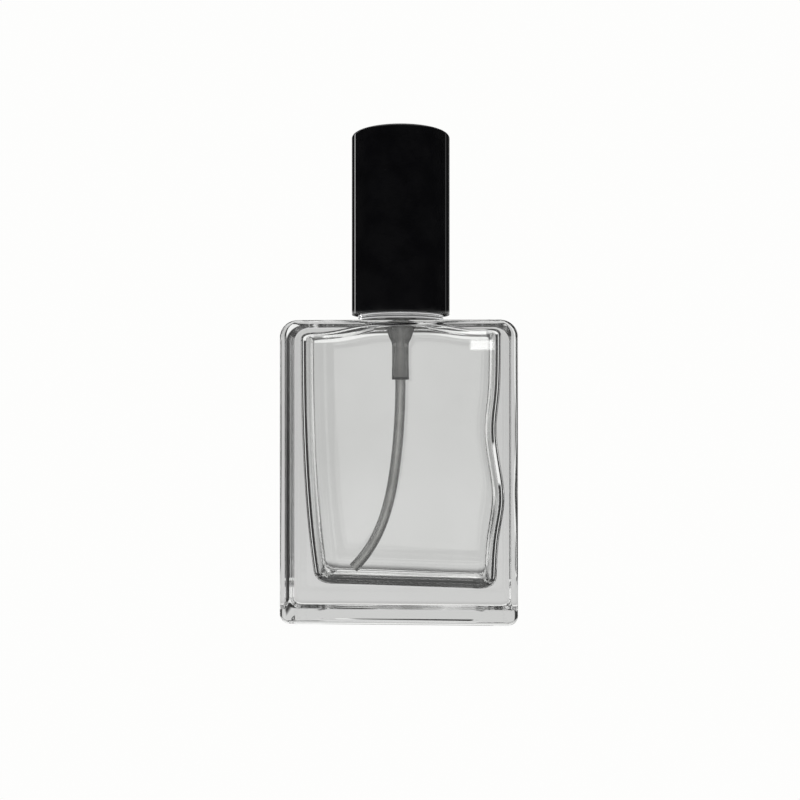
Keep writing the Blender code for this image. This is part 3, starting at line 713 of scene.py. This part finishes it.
def makeFinish(name, look, groups):
    made = bpy.data.materials.new(name + "Finish")
    made.use_nodes = True
    tree = made.node_tree
    shader = tree.nodes["Principled BSDF"]

    def useGroup(kind, values):
        return addNode(tree, "ShaderNodeGroup", values, node_tree=groups[kind]).outputs[0]

    first, second = ((*tone, 1.0) for tone in look["tones"])
    color = useGroup("tone", {"First": first, "Second": second, "Scale": look["toneScale"]})
    # painted shade: the base colour darkens towards the outlines, in place of dark surroundings seen
    # through the plastic
    if "edge" in look:
        facing = addNode(tree, "ShaderNodeLayerWeight", {"Blend": 0.72}).outputs["Facing"]
        color = mixColors(tree, facing, color, (*look["edge"], 1.0))
    if "worn" in look:
        color = useGroup("wear", {"Color": color, "Worn": (*look["worn"], 1.0)})
    tree.links.new(color, shader.inputs["Base Color"])
    low, high = look["polish"]
    rough = useGroup("polish", {"Low": low, "High": high, "Scale": look["toneScale"] * 0.7})
    tree.links.new(rough, shader.inputs["Roughness"])
    grain = useGroup("grain", {"Scale": look["grain"], "Stretch": look.get("stretch", (1, 1, 1))})
    bump = addNode(tree, "ShaderNodeBump", {
        "Strength": look["bump"], "Distance": 0.02 * mm, "Height": grain,
    })
    tree.links.new(bump.outputs[0], shader.inputs["Normal"])
    shader.inputs["Metallic"].default_value = look.get("metallic", 0.0)
    shader.inputs["Transmission Weight"].default_value = look.get("transmission", 0.0)
    shader.inputs["IOR"].default_value = look.get("ior", 1.5)
    if look.get("transmission"):
        passing = addNode(tree, "ShaderNodeBsdfTransparent")
        path = addNode(tree, "ShaderNodeLightPath")
        mixed = addNode(tree, "ShaderNodeMixShader", {
            0: path.outputs["Is Shadow Ray"], 1: shader.outputs[0], 2: passing.outputs[0],
        })
        tree.links.new(mixed.outputs[0], tree.nodes["Material Output"].inputs["Surface"])
    return made


def makeFinishes():
    groups = {
        "tone": makeToneDrift(),
        "polish": makePolishDrift(),
        "grain": makeFineGrain(),
        "wear": makeEdgeWear(),
    }
    return {name: makeFinish(name, look, groups) for name, look in finishes.items()}


cap = {
    "wall": 0.42 * mm,
    "topWall": 0.6 * mm,
    "topEdge": 0.55 * mm,
    "footEdge": 0.12 * mm,
}


def makeCap():
    low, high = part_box("cap_shell")
    radius, bore = high.x, high.x - cap["wall"]
    foot, edge = cap["footEdge"], cap["topEdge"]
    outline = arc((bore + foot, low.z + foot), foot, 180, 270, 4)
    outline += arc((radius - foot, low.z + foot), foot, 270, 360, 5)
    outline += [(radius, low.z + 2 * foot)]     # close rings keep the wall's own reflections straight
    outline += [(radius, low.z + (high.z - low.z) * i / 8) for i in range(1, 8)]
    outline += [(radius, high.z - edge - foot)]
    outline += arc((radius - edge, high.z - edge), edge, 0, 90, 12)
    outline += [(6 * mm, high.z), (3 * mm, high.z), (0, high.z)]
    outline += [(0, high.z - cap["topWall"]), (bore, high.z - cap["topWall"])]
    finishPiece("capShell", spun(outline, 160), paints["cap"], "overcap", ["cap_shell"])


collar = {
    "wall": 0.3 * mm,
    "roll": 0.45 * mm,
    "hole": 4.0 * mm,
    "foot": 0.12 * mm,
    "bead": 0.55 * mm,
    "groove": 0.12 * mm,
}


def makeCollar():
    low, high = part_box("collar_shell")
    radius, wall, roll, foot = high.x, collar["wall"], collar["roll"], collar["foot"]
    bead, groove = low.z + collar["bead"], collar["groove"]
    outline = arc((radius - foot, low.z + foot), foot, 270, 360, 5)
    outline += arc((radius - foot, bead - foot), foot, 0, 60, 4)
    outline += [(radius - groove, bead + 0.4 * groove), (radius - groove, bead + 1.2 * groove)]
    outline += arc((radius - foot, bead + 2.4 * groove), foot, 300, 360, 4)
    outline += [(radius, bead + 4 * groove), (radius, high.z - roll - groove)]
    outline += arc((radius - roll, high.z - roll), roll, 0, 90, 10)
    outline += arc((collar["hole"] + foot, high.z - foot), foot, 90, 180, 4)
    outline += [(collar["hole"], high.z - wall), (radius - wall, high.z - wall)]
    outline += arc((radius - wall + foot, low.z + foot), foot, 180, 270, 4)
    bm = spun(outline)
    finishPiece("collarShell", bm, paints["collar"], "closure", ["collar_shell"])


pump = {
    "seated": 0.05 * mm,
    "chamberBore": 2.95 * mm,
    "springLedge": 57.6 * mm,
    "seat": 54.0 * mm,
    "socketTop": 51.2 * mm,
    "tubeRadius": 1.0 * mm,
    "tailRadius": 1.65 * mm,
    "tailBand": 2.2 * mm,     # the tail is a shade thicker this far up from its end
    "waist": 1.6 * mm,
    "rim": 0.5 * mm,          # height of the ring at the tail's mouth that gets painted shade
    "flangeThickness": 0.9 * mm,
    "flangeRadius": 6.2 * mm,
    "chamberRadius": 3.7 * mm,
    "ballBore": 0.6 * mm,
    "ballPocket": 1.35 * mm,
    "pocketDepth": 1.2 * mm,
    # the funnel from the tail to the chamber, as radius and height in mm
    "funnel": (
        (1.66, 52.1), (1.85, 52.5), (2.05, 52.85), (2.2, 53.2), (2.34, 53.6),
        (2.46, 54.1), (2.62, 54.8), (2.84, 55.6), (3.1, 56.6), (3.4, 57.6),
    ),
}


def makeHousing():
    low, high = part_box("pump_housing")
    tail, bore, under = low.z, pump["chamberBore"], high.z - pump["flangeThickness"]
    socket, body, flange = pump["tubeRadius"] + pump["seated"], pump["chamberRadius"], pump["flangeRadius"]
    thick, waist = pump["tailRadius"], pump["waist"]
    pocket, ball, ledge = pump["ballPocket"], pump["ballBore"], pump["springLedge"]
    ease, chamfer = 0.08 * mm, 0.1 * mm
    outline = [(socket, tail + ease), (socket + ease, tail)]
    outline += arc((thick - ease, tail + ease), ease, 270, 360, 4)
    outline += [(thick, tail + pump["rim"]), (thick, tail + pump["tailBand"])]
    outline += [(waist, tail + pump["tailBand"] + chamfer), (waist, 51.7 * mm)]
    outline += [(r * mm, z * mm) for r, z in pump["funnel"]]
    outline += [(body, 58.4 * mm), (body, under - 2 * chamfer), (body + 2 * chamfer, under)]
    outline += [(flange - chamfer, under), (flange, under + chamfer), (flange, high.z - chamfer)]
    outline += [(flange - chamfer, high.z), (bore, high.z), (bore, ledge), (pocket, ledge)]
    outline += [(pocket, pump["seat"] + pump["pocketDepth"]), (ball, pump["seat"])]
    outline += [(ball, pump["socketTop"]), (socket, pump["socketTop"])]
    bm = spun(outline, 96)
    piece = finishPiece(
        "pumpHousing", bm, paints["natural"], "pump", ["pump_housing"], 50,
    )
    piece.data.materials.append(paints["tailPaintedShade"])
    # painted shade: the faces in the ring at the tail's mouth get the dark finish
    for face in piece.data.polygons:
        if face.center.z < tail + pump["rim"]:
            face.material_index = 1


tube = {
    "wall": 0.36 * mm,
    "lean": 3.6e-3 / mm,
    "curl": 2.0e-9 / mm ** 5,
    "gap": 0.4 * mm,          # how far below the tail it starts to curl
    "foot": 8.5 * mm,
    "stations": 70,
}


def alongTube():
    top = pump["socketTop"] - 0.3 * mm
    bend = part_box("pump_housing")[0].z - tube["gap"]
    line = [Vector((0, 0, top)), Vector((0, 0, (top + bend) / 2))]
    for i in range(tube["stations"] + 1):
        height = bend + (tube["foot"] - bend) * i / tube["stations"]
        down = max(0.0, bend - height)
        line.append(Vector((-tube["lean"] * down ** 2 - tube["curl"] * down ** 6, 0, height)))
    return line


def ringPlace(line, i, radius):
    before, after = line[max(0, i - 1)], line[min(len(line) - 1, i + 1)]
    along = (after - before).normalized()
    across = along.cross(Vector((0, 1, 0))).normalized()

    def place(seat):
        turn = math.atan2(seat.y, seat.x)
        return line[i] + radius * (math.cos(turn) * across + math.sin(turn) * Vector((0, 1, 0)))
    return place


def makeTube():
    line = alongTube()
    outer, inner = pump["tubeRadius"], pump["tubeRadius"] - tube["wall"]
    bm = bmesh.new()
    bmesh.ops.create_circle(bm, segments=40, radius=outer)
    seat = bm.verts.layers.float_vector.new("seat")
    for v in bm.verts:
        v[seat] = v.co
        v.co = ringPlace(line, 0, inner)(v[seat])
    first = loop = bm.edges[:]
    for i in range(len(line)):
        loop = drawOut(bm, seat, loop, ringPlace(line, i, outer))
    for i in reversed(range(1, len(line))):
        loop = drawOut(bm, seat, loop, ringPlace(line, i, inner))
    bmesh.ops.bridge_loops(bm, edges=loop + first)
    bm.verts.layers.float_vector.remove(seat)
    finishPiece("dipTube", bm, paints["tube"], "pump", ["dip_tube"], 60)


spring = {
    "wire": 0.2 * mm,
    "coil": 2.2 * mm,
    "turns": 5.5,
    "closedTurns": 0.75,
    "endRise": 0.46 * mm,     # a turn
    "travel": 4.0 * mm,
}


def makeSpring():
    low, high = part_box("return_spring")
    bottom, top = low.z + spring["wire"], high.z - spring["wire"]
    count = 230
    line = []
    for i in range(count + 1):
        done = spring["turns"] * i / count
        closed, rise = spring["closedTurns"], spring["endRise"]
        middle = min(1.0, max(0.0, (done - closed) / (spring["turns"] - 2 * closed)))
        height = bottom + rise * (min(done, closed) + max(0.0, done - spring["turns"] + closed))
        height += middle * (top - bottom - 2 * rise * closed)
        turn = fullTurn * done
        line.append(Vector((spring["coil"] * math.cos(turn), spring["coil"] * math.sin(turn), height)))
    bm = bmesh.new()
    bmesh.ops.create_circle(bm, segments=12, radius=spring["wire"], cap_ends=True)
    seat = bm.verts.layers.float_vector.new("seat")

    def wirePlace(i):
        along = (line[min(count, i + 1)] - line[max(0, i - 1)]).normalized()
        outward = Vector((line[i].x, line[i].y, 0)).normalized()
        up = outward.cross(along)
        return lambda at: line[i] + outward * at.x + up * at.y

    for v in bm.verts:
        v[seat] = v.co
        v.co = wirePlace(0)(v[seat])
    loop = bm.edges[:]
    for i in range(1, count + 1):
        loop = drawOut(bm, seat, loop, wirePlace(i))
    bmesh.ops.contextual_create(bm, geom=loop)
    bm.verts.layers.float_vector.remove(seat)
    piece = finishPiece(
        "returnSpring", bm, paints["steel"], "pump", ["return_spring"], 60,
    )
    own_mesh(piece)


button = {
    "skirtBore": 5.4 * mm,
    "bossRadius": 2.9 * mm,
    "roof": 5.0 * mm,
    "edge": 0.8 * mm,
    "dish": 0.35 * mm,
    "nozzleHeight": 85.0 * mm,
    "nozzleRadius": 1.95 * mm,
    "stemRadius": 1.6 * mm,
    "stemBore": 0.6 * mm,
    "bossHeight": 79.8 * mm,
    # the finger dish, as radius in mm and share of its depth
    "dishShape": ((5.0, 0.12), (4.2, 0.36), (3.2, 0.66), (2.0, 0.86), (1.0, 0.97), (0, 1.0)),
    "channelRadius": 0.35 * mm,
}


def makeButton():
    low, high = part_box("spray_button")
    radius, edge = high.x, button["edge"]
    foot = 0.12 * mm
    socket = button["stemRadius"] + pump["seated"]
    socketTop = button["nozzleHeight"] + 0.6 * mm
    outline = arc((button["skirtBore"] + foot, low.z + foot), foot, 180, 270, 4)
    outline += arc((radius - foot, low.z + foot), foot, 270, 360, 4)
    outline += arc((radius - edge, high.z - edge), edge, 0, 90, 14)
    outline += [(r * mm, high.z - button["dish"] * depth) for r, depth in button["dishShape"]]
    outline += [(0, socketTop), (socket, socketTop), (socket, button["bossHeight"] + 0.2 * mm)]
    outline += [(socket + 0.2 * mm, button["bossHeight"]), (button["bossRadius"], button["bossHeight"])]
    roof = low.z + button["roof"]
    outline += [(button["bossRadius"], roof), (button["skirtBore"], roof)]
    bm = spun(outline)
    piece = finishPiece("sprayButton", bm, paints["button"], "button", ["spray_button"])
    bore = button["nozzleRadius"] + pump["seated"]
    cuts = ((bore, -6.1 * mm, 64, 0.0), (button["channelRadius"], -3.2 * mm, 24, 0.1 * mm))
    for i, (cutRadius, y, steps, lift) in enumerate(cuts):
        bm = bmesh.new()
        place = Matrix.Translation((0, y, button["nozzleHeight"] + lift)) @ faceFront
        bmesh.ops.create_cone(
            bm, cap_ends=True, segments=steps, radius1=cutRadius, radius2=cutRadius,
            depth=4.0 * mm, matrix=place,
        )
        cutAway(piece, bm, f"buttonCut{i}")


def cutAway(piece, bm, name):
    mesh = bpy.data.meshes.new(name)
    bm.to_mesh(mesh)
    bm.free()
    cutter = bpy.data.objects.new(name, mesh)
    scene.collection.objects.link(cutter)
    step = piece.modifiers.new(name, "BOOLEAN")
    step.operation, step.object, step.solver = "DIFFERENCE", cutter, "EXACT"
    bpy.context.view_layer.update()
    cutMesh = bpy.data.meshes.new_from_object(piece.evaluated_get(bpy.context.evaluated_depsgraph_get()))
    piece.modifiers.clear()
    piece.data = cutMesh
    bpy.data.objects.remove(cutter, do_unlink=True)
    cutMesh.shade_smooth()
    cutMesh.set_sharp_from_angle(angle=math.radians(40))


nozzle = {
    "back": -4.15 * mm,
    "depth": 1.85 * mm,
    "orifice": 0.18 * mm,
    "dishRadius": 0.95 * mm,
    "dishDepth": 0.55 * mm,
    "groove": ((1.45, 0), (1.38, 0.07), (1.22, 0.07), (1.15, 0)),    # radius and depth in mm
}


def makeNozzle():
    radius, front = button["nozzleRadius"], nozzle["depth"]
    edge = 0.1 * mm
    outline = [(0.7 * mm, 0), (radius - 0.15 * mm, 0), (radius, 0.2 * mm)]
    outline += arc((radius - edge, front - edge), edge, 0, 90, 5)
    outline += [(r * mm, front - depth * mm) for r, depth in nozzle["groove"]]
    steps = 8
    for i in range(steps + 1):
        share = i / steps
        reach = nozzle["dishRadius"] + (nozzle["orifice"] - nozzle["dishRadius"]) * share
        outline.append((reach, front - nozzle["dishDepth"] * smoothStep(share)))
    outline += [(nozzle["orifice"], 0.8 * mm), (0.7 * mm, 0.5 * mm)]
    bm = spun(outline, 72)
    place = Matrix.Translation((0, nozzle["back"], button["nozzleHeight"])) @ faceFront
    bmesh.ops.transform(bm, matrix=place, verts=bm.verts)
    finishPiece("nozzleInsert", bm, paints["white"], "button", ["nozzle_insert"], 35)


turret = {
    "flangeLow": 70.85 * mm,
    "chimney": 3.1 * mm,
    "guide": 1.75 * mm,
}


def makeTurret():
    low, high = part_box("turret")
    plug, chimney, guide = pump["chamberBore"] - pump["seated"], turret["chimney"], turret["guide"]
    flange, flangeLow = pump["flangeRadius"], turret["flangeLow"]
    flangeTop = flangeLow + pump["flangeThickness"]
    ease, edge = 0.1 * mm, 0.3 * mm
    outline = [(guide, low.z), (plug - ease, low.z), (plug, low.z + ease), (plug, flangeLow)]
    outline += [(flange - ease, flangeLow), (flange, flangeLow + ease), (flange, flangeTop - ease)]
    outline += [(flange - ease, flangeTop), (chimney + ease, flangeTop), (chimney, flangeTop + ease)]
    outline += arc((chimney - edge, high.z - edge), edge, 0, 90, 8)
    outline += [(guide + edge, high.z), (guide, high.z - edge)]
    finishPiece("turretGuide", spun(outline, 96), paints["white"], "pump", ["turret"])


def makeStem():
    low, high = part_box("stem")
    radius, bore = high.x, button["stemBore"]
    ease = 0.12 * mm
    outline = [(bore, low.z), (radius - ease, low.z), (radius, low.z + ease)]
    outline += arc((radius - ease, high.z - ease), ease, 0, 90, 5)
    outline += [(bore + ease, high.z), (bore, high.z - ease)]
    finishPiece("stemTube", spun(outline, 64), paints["white"], "plunger", ["stem"])


def paintNodes():
    hidden = {
        "neck_gasket": "rubber", "stem_gasket": "rubber", "closure_ring": "white", "inlet_ball": "steel",
        "piston": "natural", "plunger_core": "white", "cap_liner": "liner",
    }
    for node, paint in hidden.items():
        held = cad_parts[node]
        for slot in held.material_slots:
            slot.material = paints[paint]


print("camera and studio")
makeCamera()
makeWorld()
makeFloor()
makeShade()
print("finishes")
paints = makeFinishes()
print("glass")
makeGlass()
print("cap and collar")
makeCap()
makeCollar()
print("pump")
makeHousing()
makeTube()
makeSpring()
makeTurret()
makeStem()
print("button")
makeButton()
makeNozzle()
paintNodes()

scene.view_settings.view_transform = "Standard"
scene.cycles.max_bounces = 24
scene.cycles.glossy_bounces = 20
scene.cycles.transmission_bounces = 20
scene.cycles.transparent_max_bounces = 16
